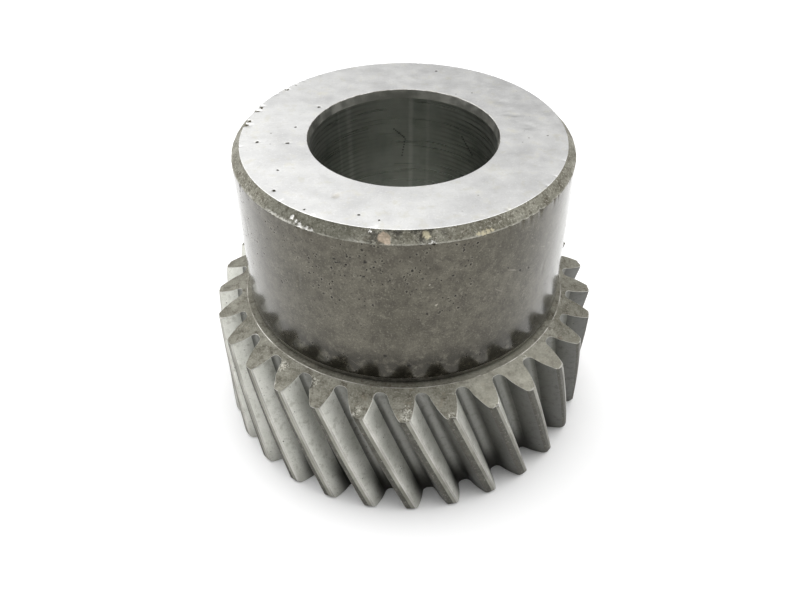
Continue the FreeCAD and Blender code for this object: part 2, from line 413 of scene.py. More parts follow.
def mat_chamfer():
    g, base, rough, h = mat_scale("chamfer_scale", 0.85)
    r, ang, z = g.polar()
    copper = g.spots(COPPER, edge=0.22, wobble=0.35, wobble_size=0.9)
    left = g.math("MULTIPLY", g.ramp(ang, -52.0, -42.0), g.ramp(ang, -8.0, -18.0))
    base = g.mix(g.math("MULTIPLY", left, 0.45), base, (0.060, 0.062, 0.045))
    black = g.math("MULTIPLY", g.math("MULTIPLY", g.ramp(ang, -14.0, -8.0), g.ramp(ang, 16.0, 9.0)), g.ramp(g.noise(2.2, 4, 0.7, seed=45), 0.48, 0.60))
    base = g.mix(g.math("MULTIPLY", black, 0.75), base, (0.026, 0.023, 0.018))
    nick = g.spots(NICKS, edge=0.4, wobble=0.35, wobble_size=0.55)
    base = g.mix(copper, base, g.mix(g.ramp(g.noise(0.7, 3, seed=41), 0.35, 0.65), (0.47, 0.385, 0.30), (0.32, 0.265, 0.20)))
    gold = g.spots(GOLD, edge=0.4, wobble=0.35, wobble_size=0.8)
    base = g.mix(g.math("MULTIPLY", gold, 0.8), base, (0.56, 0.51, 0.36))
    # bright scuff along the lower edge, partly worn metal and partly painted highlight, stronger over some of the way
    # round
    line = g.ramp(z, 76.25, 75.85)
    where = g.math("MAXIMUM", g.ramp(g.noise(9, 2, seed=43), 0.52, 0.66), g.math("MULTIPLY", g.ramp(ang, -48.0, -44.0), g.ramp(ang, -26.0, -31.0)))
    scuff_and_highlight = g.math("MULTIPLY", g.math("MULTIPLY", line, where), g.ramp(g.noise(0.6, 2, seed=44), 0.35, 0.6))
    base = g.mix(g.math("MULTIPLY", scuff_and_highlight, 0.75), base, (0.55, 0.54, 0.50))
    # painted highlight: a thin lighter line along the rounded lower edge
    lip_highlight = g.math("MULTIPLY", g.ramp(z, 75.95, 75.75), g.ramp(g.noise(3.0, 2, seed=46), 0.36, 0.52))
    base = g.mix(g.math("MULTIPLY", lip_highlight, 0.5), base, (0.46, 0.45, 0.40))
    # nicks: bare metal, painted near white so that they also stand in for highlights
    base = g.mix(nick, base, (0.80, 0.79, 0.76))
    rough = g.fmix(g.math("MAXIMUM", nick, scuff_and_highlight), rough, 0.3)
    n = g.bump(h, 0.9, 0.18)
    return g.done(base, rough, 0.55, n)


def mat_cone():
    g, base, rough, h = mat_scale("face_scale", 0.70, rings=True)
    n = g.bump(h, 0.7, 0.13)
    return g.done(base, rough, 0.50, n)


def mat_journal():
    """Ground outside of the sleeve under a thin dark film, mottled and pitted."""
    g = Nodes("ground_journal")
    r, ang, z = g.polar()
    film = g.noise(9, 4, 0.6, seed=51)
    grain = g.noise(0.42, 3, 0.7, seed=53)
    mid = g.noise(2.2, 4, 0.7, seed=59)
    cloud = g.noise(4.5, 4, 0.65, seed=60)
    col = g.mix(g.ramp(film, 0.34, 0.66), (0.070, 0.067, 0.055), (0.104, 0.100, 0.085))
    col = g.mix(g.ramp(cloud, 0.50, 0.68, 0, 0.55), col, (0.050, 0.046, 0.039))
    col = g.mix(g.ramp(mid, 0.50, 0.66, 0, 0.55), col, (0.045, 0.041, 0.035))
    col = g.mix(g.ramp(mid, 0.46, 0.34, 0, 0.40), col, (0.155, 0.150, 0.130))
    col = g.mix(g.ramp(grain, 0.54, 0.72, 0, 0.65), col, (0.215, 0.210, 0.185))
    col = g.mix(g.ramp(grain, 0.46, 0.30, 0, 0.65), col, (0.040, 0.036, 0.030))
    # darker, dirtier band just under the chamfer, and a stain round the front
    band = g.math("MULTIPLY", g.ramp(z, 66.0, 75.0), g.ramp(g.noise(6, 3, 0.65, seed=54), 0.42, 0.66))
    col = g.mix(g.math("MULTIPLY", band, 0.45), col, (0.050, 0.045, 0.036))
    stain = g.spots(OD_STAINS, edge=0.55, wobble=0.9, wobble_size=2.2)
    col = g.mix(g.math("MULTIPLY", stain, 0.38), col, (0.036, 0.032, 0.026))
    # pits: dense in patches, rare elsewhere, some with a brighter rim
    side = g.math("MAXIMUM", g.math("MULTIPLY", g.ramp(z, 50.0, 64.0), g.ramp(ang, 34.0, 12.0)), g.ramp(z, 45.0, 41.0))
    patch = g.math("MULTIPLY", g.ramp(g.noise(7, 3, 0.6, seed=55), 0.42, 0.60), g.fmix(side, 0.25, 1.0))
    jit = g.math("MULTIPLY", g.math("SUBTRACT", g.noise(0.5, 3, 0.6, seed=63), 0.5), 0.34)
    d1, d2 = g.math("ADD", g.voronoi(1.9, seed=1.0), jit), g.math("ADD", g.voronoi(0.95, seed=2.0), jit)
    cluster = g.math("MULTIPLY", g.spots(OD_CLUSTER, edge=0.7, wobble=0.9, wobble_size=2.4), g.ramp(g.noise(2.0, 2, seed=65), 0.34, 0.46))
    patch = g.math("MAXIMUM", patch, cluster)
    m1, m2 = g.ramp(patch, 0.20, 0.55), g.ramp(patch, 0.40, 0.75)
    pits = g.math("MAXIMUM", g.math("MULTIPLY", g.ramp(d1, 0.17, 0.09), m1), g.math("MULTIPLY", g.ramp(d2, 0.20, 0.10), m2))
    # painted reflection: dark blotches round the foot of the sleeve, standing in for the mirrored tooth gaps and cone
    # face below
    foot = g.math("MULTIPLY", g.ramp(z, 48.0, 42.5), g.ramp(g.noise(2.4, 4, 0.65, seed=64), 0.34, 0.56))
    col = g.mix(g.math("MULTIPLY", foot, 0.85), col, (0.024, 0.022, 0.017))
    seen = g.spots(OD_SPECKS, edge=0.4, wobble=0.22, wobble_size=0.6)
    rim = g.math("MULTIPLY", g.math("MULTIPLY", g.ramp(d1, 0.30, 0.23), g.ramp(d1, 0.15, 0.20)), m1)
    col = g.mix(g.math("MULTIPLY", rim, 0.22), col, (0.25, 0.245, 0.22))
    pits = g.math("MAXIMUM", pits, seen)
    col = g.mix(g.math("MULTIPLY", pits, 0.85), col, (0.020, 0.017, 0.012))
    lights = g.spots(OD_LIGHTS, edge=0.5, wobble=0.25, wobble_size=0.6)
    col = g.mix(g.math("MULTIPLY", lights, 0.7), col, (0.40, 0.39, 0.36))
    scr = g.noise(1.0, 2, 0.5, v=g.combine(g.math("MULTIPLY", g.xyz()[0], 0.25), g.math("ADD", g.math("MULTIPLY", z, 1.3), g.xyz()[0]), g.math("MULTIPLY", g.xyz()[1], 0.25)), seed=56)
    scr = g.math("MULTIPLY", g.ramp(scr, 0.66, 0.74), g.ramp(g.noise(7, 2, seed=57), 0.5, 0.66))
    col = g.mix(g.math("MULTIPLY", scr, 0.3), col, (0.34, 0.33, 0.31))
    col = g.mix(1.0, col, (0.92, 0.885, 0.80), "MULTIPLY")
    rough = g.ramp(g.math("ADD", film, g.math("MULTIPLY", mid, 0.5)), 0.5, 1.1, 0.17, 0.30)
    rough = g.fmix(pits, rough, 0.75)
    lay = g.noise(1.0, 3, 0.75, v=g.vec("MULTIPLY", g.mm, (0.04, 0.04, 5.5)), seed=58)
    n = g.bump(g.math("ADD", g.math("MULTIPLY", lay, 0.10), g.math("MULTIPLY", grain, 0.35)), 0.5, 0.05)
    n = g.bump(g.math("MULTIPLY", pits, -1.0), 0.7, 0.12, n)
    g.bsdf.inputs["Coat Weight"].default_value = 0.45
    g.bsdf.inputs["Coat Roughness"].default_value = 0.14
    return g.done(col, rough, 1.0, n)


def mat_relief():
    g = Nodes("relief_groove")
    b = g.noise(1.4, 3, 0.6, seed=61)
    r, ang, z = g.polar()
    col = g.mix(g.ramp(b, 0.35, 0.7), (0.060, 0.057, 0.046), (0.12, 0.116, 0.095))
    # painted light: lighter towards the sides, and darker across the front where the groove lies in shade
    col = g.mix(g.ramp(g.math("ABSOLUTE", ang), 12.0, 50.0, 0, 0.8), col, (0.21, 0.205, 0.165))
    n = g.bump(b, 0.5, 0.1)
    return g.done(col, g.ramp(b, 0.3, 0.7, 0.45, 0.6), 0.8, n)


def mat_turned(name="turned_bore"):
    """Fine-turned bore: rings along the axis, darker and smeared."""
    g = Nodes(name)
    r, ang, z = g.polar()
    film = g.noise(8, 3, 0.6, seed=71)
    streak = g.noise(1.0, 2, 0.5, v=g.vec("MULTIPLY", g.mm, (0.28, 0.28, 0.006)), seed=72)
    col = g.mix(g.ramp(film, 0.35, 0.65), (0.48, 0.50, 0.465), (0.60, 0.615, 0.575))
    col = g.mix(g.ramp(streak, 0.42, 0.66, 0, 0.45), col, (0.60, 0.59, 0.56))
    # painted reflection: soft bright bands down the wall
    flatdir = g.vec("NORMALIZE", g.combine(*g.xyz()[:2], 0.0))
    wobble = g.math("MULTIPLY", g.math("SUBTRACT", g.noise(9, 2, seed=75), 0.5), 0.04)
    for x, y, half, strength in BORE_REFLECTION_BANDS:
        ln = math.hypot(x, y)
        side = g.math("ADD", g.vec("DOT_PRODUCT", flatdir, (-y / ln, x / ln, 0.0)), wobble)
        front = g.ramp(g.vec("DOT_PRODUCT", flatdir, (x / ln, y / ln, 0.0)), 0.5, 0.6)
        band = g.math("MULTIPLY", g.ramp(g.math("ABSOLUTE", side), half, half * 0.2), front)
        col = g.mix(g.math("MULTIPLY", band, strength), col, (0.86, 0.85, 0.82))
    rings = g.noise(1.0, 3, 0.7, v=g.vec("MULTIPLY", g.mm, (0.03, 0.03, 1.25)), seed=73)
    fine = g.noise(1.0, 2, 0.6, v=g.vec("MULTIPLY", g.mm, (0.05, 0.05, 4.0)), seed=74)
    wave = g.math("SINE", g.math("ADD", g.math("MULTIPLY", z, 2 * math.pi / 1.3), g.math("MULTIPLY", g.noise(12, 2, seed=76), 5.0)))
    x, y, z = g.xyz()
    third = g.ramp(g.math("ADD", g.math("ABSOLUTE", x), g.math("MULTIPLY", g.noise(5, 2, seed=77), 8.0)), 11.0, 17.0, 0.12, 1.0)
    arcs = g.math("MULTIPLY", g.ramp(wave, -0.2, 0.9), third)
    col = g.mix(g.math("MULTIPLY", arcs, 0.30), col, (0.18, 0.185, 0.17))
    col = g.mix(g.ramp(rings, 0.56, 0.76, 0, 0.16), col, (0.25, 0.25, 0.24))
    scratch = g.spots(BORE_SCRATCH, edge=0.6, wobble=0.10, wobble_size=0.5)
    col = g.mix(g.math("MULTIPLY", scratch, 0.8), col, (0.05, 0.05, 0.045))
    h = g.math("ADD", g.math("MULTIPLY", rings, 0.4), g.math("ADD", g.math("MULTIPLY", fine, 0.4), g.math("MULTIPLY", arcs, -0.2)))
    n = g.bump(h, 0.5, 0.05)
    rough = g.ramp(rings, 0.3, 0.7, 0.26, 0.38)
    return g.done(col, rough, 1.0, n)


def mat_lead():
    g = Nodes("lead_in")
    film = g.noise(3.5, 3, 0.6, seed=81)
    col = g.mix(g.ramp(film, 0.35, 0.65), (0.40, 0.40, 0.37), (0.56, 0.555, 0.51))
    n = g.bump(g.noise(0.6, 2, seed=82), 0.4, 0.05)
    return g.done(col, g.ramp(film, 0.3, 0.7, 0.34, 0.46), 1.0, n)


def mat_bright_edge(name="rubbed_edge", dark=(0.20, 0.185, 0.155), bright=(0.56, 0.55, 0.53), lo=0.40, hi=0.62, size=2.4):
    """Edges rubbed towards bare metal here and there."""
    g = Nodes(name)
    b = g.noise(size, 3, 0.6, seed=91)
    c = g.noise(0.7, 2, 0.6, seed=92)
    col = g.mix(g.ramp(b, lo, hi), bright, dark)
    col = g.mix(g.ramp(c, 0.5, 0.75, 0, 0.5), col, dark)
    n = g.bump(c, 0.4, 0.05)
    return g.done(col, g.ramp(b, 0.3, 0.7, 0.30, 0.46), 1.0, n)


def mat_flank(name="tooth_flank", k=1.0):
    """Cut and hardened tooth flanks: dull grey-green with small dark specks and a fine lay along the tooth; painted
    shade darkens them deep in the gaps near the lower end, and all of them towards the lower end.
    """
    g = Nodes(name)
    a = g.noise(6.5, 4, 0.6, seed=101)
    b = g.noise(1.5, 4, 0.65, seed=102)
    c = g.noise(0.36, 3, 0.65, seed=103)
    col = g.mix(g.ramp(a, 0.35, 0.66), (0.67, 0.675, 0.615), (0.79, 0.79, 0.735))
    col = g.mix(g.ramp(b, 0.50, 0.72, 0, 0.55), col, (0.40, 0.395, 0.335))
    col = g.mix(g.ramp(c, 0.56, 0.74, 0, 0.40), col, (0.88, 0.88, 0.84))
    col = g.mix(g.ramp(c, 0.44, 0.28, 0, 0.45), col, (0.34, 0.335, 0.28))
    s1 = g.math("MULTIPLY", g.ramp(g.voronoi(2.3, seed=4.0), 0.12, 0.06), g.ramp(g.noise(7, 2, seed=104), 0.46, 0.60))
    s2 = g.math("MULTIPLY", g.ramp(g.voronoi(1.25, seed=6.0), 0.15, 0.07), g.ramp(g.noise(4, 2, seed=106), 0.48, 0.62))
    col = g.mix(g.math("MULTIPLY", g.math("MAXIMUM", s1, s2), 0.8), col, (0.09, 0.08, 0.06))
    r, ang, z = g.polar()
    # painted shade: darker deep in the tooth gaps near the lower end, and darker towards the floor
    gap_shade_mask = g.math("MULTIPLY", g.ramp(r, 47.5, 44.0), g.ramp(g.math("ADD", z, g.math("MULTIPLY", b, 4.0)), 15.0, 5.0))
    low_shade_mask = g.ramp(g.math("ADD", z, g.math("MULTIPLY", b, 4.0)), 8.0, 1.0, 0, 0.35)
    # painted shade: k below 1 blends the whole colour towards black, for shaded copies of this material
    col = g.mix(1.0 - k, col, (0.0, 0.0, 0.0))
    col = g.mix(low_shade_mask, col, (0.10, 0.10, 0.08))
    col = g.mix(g.math("MULTIPLY", gap_shade_mask, 0.9), col, (0.030, 0.030, 0.024))
    lay = g.noise(1.0, 3, 0.7, v=g.combine(g.math("MULTIPLY", r, 2.6), g.math("MULTIPLY", z, 0.03), 0.0), seed=105)
    rough = g.ramp(g.math("ADD", a, g.math("MULTIPLY", b, 0.4)), 0.45, 0.95, 0.46, 0.60)
    n = g.bump(g.math("ADD", g.math("ADD", g.math("MULTIPLY", lay, 0.25), g.math("MULTIPLY", b, 0.6)), g.math("MULTIPLY", c, 0.35)), 0.6, 0.07)
    return g.done(col, rough, 0.75, n)


def mat_land():
    """Tooth tips: turned blank surface, browned and specked with rust."""
    g = Nodes("tooth_land")
    a = g.noise(3.0, 4, 0.65, seed=111)
    b = g.noise(0.7, 3, 0.7, seed=112)
    col = g.mix(g.ramp(a, 0.35, 0.65), (0.060, 0.058, 0.047), (0.105, 0.102, 0.084))
    col = g.mix(g.ramp(b, 0.52, 0.7, 0, 0.8), col, (0.060, 0.050, 0.035))
    col = g.mix(g.ramp(b, 0.44, 0.30, 0, 0.6), col, (0.30, 0.285, 0.25))
    rust = g.ramp(g.noise(1.5, 3, 0.6, seed=113), 0.62, 0.76, 0, 0.30)
    col = g.mix(rust, col, (0.13, 0.09, 0.055))
    n = g.bump(b, 0.8, 0.1)
    return g.done(col, g.ramp(a, 0.3, 0.7, 0.45, 0.62), 0.6, n)


def mat_end_face():
    """Lower end: turned flat, stained."""
    g = Nodes("turned_end")
    r, ang, z = g.polar()
    a = g.noise(8, 4, 0.6, seed=121)
    ring = g.noise(1.0, 3, 0.7, v=g.combine(g.math("MULTIPLY", r, 2.2), g.math("MULTIPLY", g.xyz()[0], 0.01), g.math("MULTIPLY", g.xyz()[1], 0.01)), seed=122)
    col = g.mix(g.ramp(a, 0.35, 0.65), (0.33, 0.325, 0.31), (0.46, 0.455, 0.44))
    col = g.mix(g.ramp(ring, 0.45, 0.7, 0, 0.4), col, (0.22, 0.215, 0.20))
    col = g.mix(g.ramp(g.noise(2.2, 3, 0.6, seed=123), 0.6, 0.8, 0, 0.4), col, (0.25, 0.19, 0.13))
    n = g.bump(ring, 0.6, 0.06)
    return g.done(col, g.ramp(a, 0.3, 0.7, 0.32, 0.46), 1.0, n)


M_TOP, M_CHAM, M_OD, M_REL, M_BORE, M_LEAD, M_EDGE = (
    mat_ground_face(), mat_chamfer(), mat_journal(), mat_relief(), mat_turned(), mat_lead(), mat_bright_edge())
M_CONE, M_FLANK, M_LAND, M_END = mat_cone(), mat_flank(), mat_land(), mat_end_face()
# painted shade: a darker copy of the flank material for the flank on each tooth's left side, which lies in shade
M_FLANK_SHADED = mat_flank("tooth_flank_painted_shade", 0.18)
# painted shade: a darker copy of the flank material for the root fillets deep in the gaps
M_ROOT_SHADED = mat_flank("tooth_root_painted_shade", 0.33)
M_TIPEDGE = mat_bright_edge("tooth_tip_edge", (0.33, 0.325, 0.295), (0.52, 0.51, 0.475), 0.30, 0.70, 11.0)
M_RUB = mat_bright_edge("tooth_land_rubbed", (0.185, 0.182, 0.155), (0.29, 0.285, 0.25), 0.32, 0.68, 9.0)
M_LEDGE = mat_bright_edge("ledge_edge", (0.17, 0.16, 0.135), (0.40, 0.39, 0.36), 0.40, 0.60, 5.0)


# =====================================================================================
# Hub sleeve
# =====================================================================================
def smooth_profile(corners):
    """corners: (r, z, rounding radius, material of the side that follows, row spacing). Returns rows (r, z, nr, nz) and the material of each side between rows."""
    m = len(corners)
    pts, mats = [], []
    P = [np.array(c[:2], float) for c in corners]
    cut = []
    for i in range(m):
        a, b, c = P[i - 1], P[i], P[(i + 1) % m]
        u, v = (a - b) / np.linalg.norm(a - b), (c - b) / np.linalg.norm(c - b)
        half = math.acos(max(-1, min(1, float(u @ v)))) / 2
        rad = corners[i][2]
        t = rad / math.tan(half) if rad > 0 else 0.0
        cut.append((t, u, v, half, rad))
    for i in range(m):
        t, u, v, half, rad = cut[i]
        b = P[i]
        mat_next, space = corners[i][3], corners[i][4]
        if rad > 0:
            w = (u + v) / np.linalg.norm(u + v)
            centre = b + w * rad / math.sin(half)
            s, e = b + u * t - centre, b + v * t - centre
            a0, a1 = math.atan2(s[1], s[0]), math.atan2(e[1], e[0])
            d = (a1 - a0 + math.pi) % (2 * math.pi) - math.pi
            k = 4
            for q in range(k + 1):
                a = a0 + d * q / k
                pts.append(centre + rad * np.array([math.cos(a), math.sin(a)]))
                mats.append(corners[i][5] if q < k else mat_next)
        else:
            pts.append(b.copy())
            mats.append(mat_next)
        start = b + v * t
        t2 = cut[(i + 1) % m][0]
        end = P[(i + 1) % m] + cut[(i + 1) % m][1] * t2
        length = float(np.linalg.norm(end - start))
        n = max(1, int(round(length / space)))
        stops = [q / n for q in range(1, n)]
        near = 0.12
        if length > 4 * near:
            stops = sorted(set(stops) | {near / length, 1 - near / length})
        for q in stops:
            pts.append(start + (end - start) * q)
            mats.append(mat_next)
    return np.array(pts), mats


def crater(points, normals, places):
    """Pushes points in along -normal inside irregular blobs. places: (x, y, z, radius, depth)."""
    out = points.copy()
    for k, (x, y, z, rad, depth) in enumerate(places):
        d = np.linalg.norm(points - np.array([x, y, z]), axis=1)
        near = d < rad * 1.8
        if not near.any():
            continue
        q = points[near]
        dd = d[near] / rad * (0.72 + 0.6 * vnoise(q, rad * 0.7, 300 + k))
        w = np.clip(1 - dd * dd, 0, 1) ** 1.2
        out[near] = out[near] - normals[near] * (depth * w * (0.6 + 0.8 * vnoise(q, rad * 0.5, 500 + k)))[:, None]
    return out


relief_r = HUB_R - 0.45
T, C, O, R_, B, L, E, F_ = range(8)
sleeve_materials = [M_TOP, M_CHAM, M_OD, M_REL, M_BORE, M_LEAD, M_EDGE, M_END]
sleeve_corners = [
    # r, z, rounding, next side's material, spacing, rounding's material
    (BORE_R, 1.0, 0.12, F_, 0.5, F_),
    (BORE_R + 1.0, 0.0, 0.15, F_, 1.6, F_),
    (SPIGOT_R - 0.32, 0.0, 0.10, F_, 0.3, F_),
    (SPIGOT_R, 0.35, 0.0, F_, 6.0, F_),
    (SPIGOT_R, SEAT_Z + 0.0, 0.0, F_, 2.0, F_),
    (relief_r - 0.35, SEAT_Z, 0.05, R_, 0.3, R_),
    (relief_r, SEAT_Z + 0.35, 0.05, R_, 0.35, R_),
    (relief_r, SEAT_Z + 1.3, 0.12, R_, 0.25, R_),
    (HUB_R, SEAT_Z + 1.75, 0.10, O, 1.25, E),
    (HUB_R, HEIGHT - 2.3, 0.22, C, 0.26, C),
    (HUB_R - 2.1, HEIGHT, 0.14, T, 0.75, T),
    (BORE_R + 0.4, HEIGHT, 0.10, L, 0.4, E),
    (BORE_R, HEIGHT - 2.2, 0.10, B, 2.6, E),
]
prof, prof_mats = smooth_profile(sleeve_corners)
NS = 960
rows = len(prof)
ang = np.arange(NS) * 2 * math.pi / NS
nxt, prv = np.roll(prof, -1, 0), np.roll(prof, 1, 0)
tan = nxt - prv
tan /= np.linalg.norm(tan, axis=1)[:, None]
area = 0.5 * np.sum(prof[:, 0] * nxt[:, 1] - nxt[:, 0] * prof[:, 1])
nrm = np.stack([tan[:, 1], -tan[:, 0]], 1) * (1 if area > 0 else -1)  # outward in the (r, z) plane
rr, zz = np.repeat(prof[:, 0:1], NS, 1), np.repeat(prof[:, 1:2], NS, 1)
pts = np.stack([rr * np.sin(ang), -rr * np.cos(ang), zz], -1).reshape(-1, 3)
nr, nz = np.repeat(nrm[:, 0:1], NS, 1), np.repeat(nrm[:, 1:2], NS, 1)
nor = np.stack([nr * np.sin(ang), -nr * np.cos(ang), nz], -1).reshape(-1, 3)

# uneven chamfer: the rough skin waves a little, its edges are worn, and it carries nicks and bruises
pr, pz = np.hypot(pts[:, 0], pts[:, 1]), pts[:, 2]
on_chamfer = (pz > HEIGHT - 2.6) & (pz < HEIGHT - 0.0001) & (pr > 36)
lump = (fbm(pts, 3.2, 3, 7) - 0.5) * 0.16 + (fbm(pts, 0.9, 2, 8) - 0.5) * 0.10
fade = np.clip((HEIGHT - pz) / 0.35, 0, 1) * np.clip((pz - (HEIGHT - 2.75)) / 0.4, 0, 1)
pts = np.where(on_chamfer[:, None], pts + nor * (np.minimum(lump, 0.02) * fade)[:, None], pts)
dents = [
    # chips out of the top edge, at the left and behind
    (-37.5, 4.4, 77.95, 1.15, 0.34), (-37.2, 6.3, 77.9, 0.75, 0.24), (-35.9, 11.6, 77.9, 0.9, 0.30), (-34.9, 13.9, 77.95, 0.65, 0.20),
    (-29.6, 23.0, 77.95, 0.7, 0.20), (-27.6, 25.6, 77.95, 0.5, 0.15),
    # nicks in the chamfer and along its lower edge at the front left
    (-22.9, -31.7, 76.7, 0.7, 0.22), (-21.3, -33.6, 76.0, 0.8, 0.30), (-19.8, -34.6, 75.95, 0.7, 0.26), (-18.6, -35.3, 75.8, 0.65, 0.24),
    (-26.7, -29.5, 75.95, 0.55, 0.18), (6.0, -39.45, 75.8, 0.7, 0.28), (5.0, -39.65, 75.7, 0.5, 0.2), (-6.6, -37.7, 77.7, 0.6, 0.22),
    # pits where scale has come off, in the copper-brown patches
    (-3.9, -38.9, 76.7, 1.5, 0.12), (4.6, -38.5, 77.1, 0.9, 0.10), (16.6, -36.1, 75.9, 1.1, 0.12),
    # right side of the lower edge
    (24.5, -31.5, 75.8, 0.8, 0.26), (26.2, -30.1, 75.75, 0.7, 0.25), (28.6, -27.8, 75.8, 0.9, 0.28), (32.0, -23.9, 75.8, 0.6, 0.2),
    (21.5, -33.6, 75.85, 0.6, 0.18),
    # bruises in the ground top face
    (-20.7, 13.2, 78, 0.7, 0.06), (-33.6, -3.6, 78, 0.7, 0.06), (-26.5, -4.1, 78, 0.7, 0.06), (-27.35, -23.8, 78, 0.7, 0.06),
    (8.6, 32.9, 78, 0.6, 0.05), (-14.2, -25.9, 78, 1.0, 0.08), (26.5, 10.0, 78, 2.6, 0.10), (29.5, 3.5, 78, 2.2, 0.08), (24.0, 16.0, 78, 2.0, 0.07),
]
rng = np.random.default_rng(448)
for _ in range(26):  # small random nicks round the chamfer's lower edge and the top edge, all the way round
    a = rng.uniform(0, 2 * math.pi)
    if rng.random() < 0.6:
        dents.append((HUB_R * math.sin(a), -HUB_R * math.cos(a), HEIGHT - 2.3, rng.uniform(0.35, 0.8), rng.uniform(0.08, 0.22)))
    else:
        q = HUB_R - 2.1
        dents.append((q * math.sin(a), -q * math.cos(a), HEIGHT, rng.uniform(0.3, 0.6), rng.uniform(0.06, 0.16)))
for _ in range(22):  # pits and dings in the ground outside
    a, z = rng.uniform(0, 2 * math.pi), rng.uniform(40, 74)
    dents.append((HUB_R * math.sin(a), -HUB_R * math.cos(a), z, rng.uniform(0.5, 1.0), rng.uniform(0.04, 0.10)))
pts = crater(pts, nor, dents)
face_m = np.repeat(np.array(prof_mats)[:, None], NS, 1)
sleeve = grid_mesh("hub_sleeve_finished", pts.reshape(rows, NS, 3), face_m, sleeve_materials)
if signed_volume(sleeve) < 0:
    sleeve.data.flip_normals()
print("sleeve rows", rows, "faces", len(sleeve.data.polygons), "volume cm3", signed_volume(sleeve) * 1e6)


# =====================================================================================
# Gear ring
# =====================================================================================
def inv(a):
    return math.tan(a) - a


def half_tooth(r):
    return math.pi / (2 * TEETH) - THIN / PITCH_R + inv(ALPHA_T) - inv(math.acos(min(1.0, BASE_R / r)))


def fillet_points(n):
    """Root fillet as (radius, angle from the gap's middle)."""
    rho = 0.38 * MN
    depth = 1.2 * MN - rho
    x0 = math.pi * MT / 4 - depth * math.tan(ALPHA_T) - rho / math.cos(ALPHA_T) + THIN
    reach = depth / math.tan(ALPHA_T)
    out = []
    for i in range(n):
        dx = reach * (i / (n - 1)) ** 1.5
        length = math.hypot(dx, depth)
        qx, qy = dx + rho * dx / length, PITCH_R - depth - rho * depth / length
        out.append((math.hypot(qx, qy), math.atan2(qx, qy) - (dx - x0) / PITCH_R))
    return out


# one tooth, from the middle of the gap before it to the middle of the gap after: (radius, angle from the tooth's middle, zone)
RT, FL, BR, LD, FR, RB = range(6)
fil = fillet_points(8)
side = [(ROOT_R, -math.pi / TEETH, RT)]
side += [(r, -math.pi / TEETH + a, RT) for r, a in fil]
r_start, r_end = fil[-1][0], TIP_R - TIP_BREAK
NF = 10
side += [(r_start + (r_end - r_start) * i / NF, -half_tooth(r_start + (r_end - r_start) * i / NF), FL) for i in range(1, NF)]
ha = half_tooth(r_end)
land = ha - TIP_BREAK / TIP_R
e = 0.05
side += [
    (r_end - e, -half_tooth(r_end - e), FL),
    (r_end + e, -(ha - e / TIP_R), BR),
    (TIP_R - TIP_BREAK / 2, -(land + TIP_BREAK / 2 / TIP_R), BR),
    (TIP_R - e * 1.1, -(land + e / TIP_R), BR),
    (TIP_R, -(land - e * 1.2 / TIP_R), LD),
]
NL = 5
lands = [(TIP_R, -land * (1 - 2 * i / NL), LD) for i in range(1, NL)]
mirror = [(r, -a, FR if z == FL else z) for r, a, z in reversed(side)][:-1]
tooth = side + lands + mirror
prof_r = np.array([t[0] for t in tooth])
prof_a = np.array([t[1] for t in tooth])
# the land is worn round towards the working flank
worn = np.clip((prof_a / land - 0.2) / 0.8, 0, 1)
prof_r = prof_r - np.where(prof_r > TIP_R - 0.2, 0.11 * worn**2, 0.0)
zone = [t[2] for t in tooth]
# a side between two points takes the zone that both belong to, or the one nearer the tip
order = {RT: 0, FL: 1, FR: 1, BR: 2, LD: 3}
side_zone = [max(zone[i], zone[(i + 1) % len(zone)], key=lambda k: order[k]) for i in range(len(zone))]
for i, (r, a, z) in enumerate(tooth):
    nxt = tooth[(i + 1) % len(tooth)]
    middle = 0.5 * (a + nxt[1])
    if side_zone[i] == LD and middle > 0.25 * land:
        side_zone[i] = RB
    elif side_zone[i] == BR and middle < 0:
        side_zone[i] = LD
per = len(tooth)
NC = per * TEETH
R2 = np.tile(prof_r, TEETH)
A2 = np.concatenate([prof_a + 2 * math.pi * i / TEETH for i in range(TEETH)]) + PHASE
SZ = np.tile(np.array(side_zone), TEETH)


def turned(r, a, z):
    """Angle a given at TIP_Z, turned by the left-hand helix to height z."""
    b = a + K * (TIP_Z - z)
    return np.stack([r * np.sin(b), -r * np.cos(b), z], -1)


# inward normal of the outline in its own plane, from neighbours
flat = np.stack([R2 * np.sin(A2), -R2 * np.cos(A2)], -1)
d = np.roll(flat, -1, 0) - np.roll(flat, 1, 0)
d /= np.linalg.norm(d, axis=1)[:, None]
inward = np.stack([-d[:, 1], d[:, 0]], -1)
inward *= np.sign(-np.sum(inward * flat, axis=1).mean())


def inset(b, depth_only=None):
    """The outline moved into the metal by b (a number or one value per point), as radius and angle at TIP_Z."""
    q = flat + inward * np.asarray(b).reshape(-1, 1)
    r = np.hypot(q[:, 0], q[:, 1])
    a = np.arctan2(q[:, 0], -q[:, 1])
    a = A2 + ((a - A2 + math.pi) % (2 * math.pi) - math.pi)
    return r, a


cone = lambda r: TIP_Z + (TIP_R - r) * SLOPE
foot = lambda r: np.clip(r - (TIP_R - END_BREAK), 0, None)
top_outline = np.stack([R2 * np.sin(A2), -R2 * np.cos(A2), cone(R2)], -1)
wear = fbm(top_outline, 2.2, 3, 61)
bevel_top = 0.07 + 0.42 * np.clip(wear - 0.56, 0, 1) ** 1.0 * 1.6
near_tip = np.clip((R2 - 46.0) / 3.0, 0, 1)
bevel_top = bevel_top * (0.6 + 0.9 * near_tip)
bot_outline = turned(R2, A2, np.zeros(NC))
bevel_bot = 0.12 + 0.25 * np.clip(fbm(bot_outline, 3.0, 3, 71) - 0.45, 0, 1)

loops, row_mat = [], []
FLANK_ROW, CONE_ROW, END_ROW, EDGE_ROW, SEAT_ROW, BOT_EDGE, LEDGE_ROW = range(7)


def add(points, kind):
    loops.append(points)
    row_mat.append(kind)


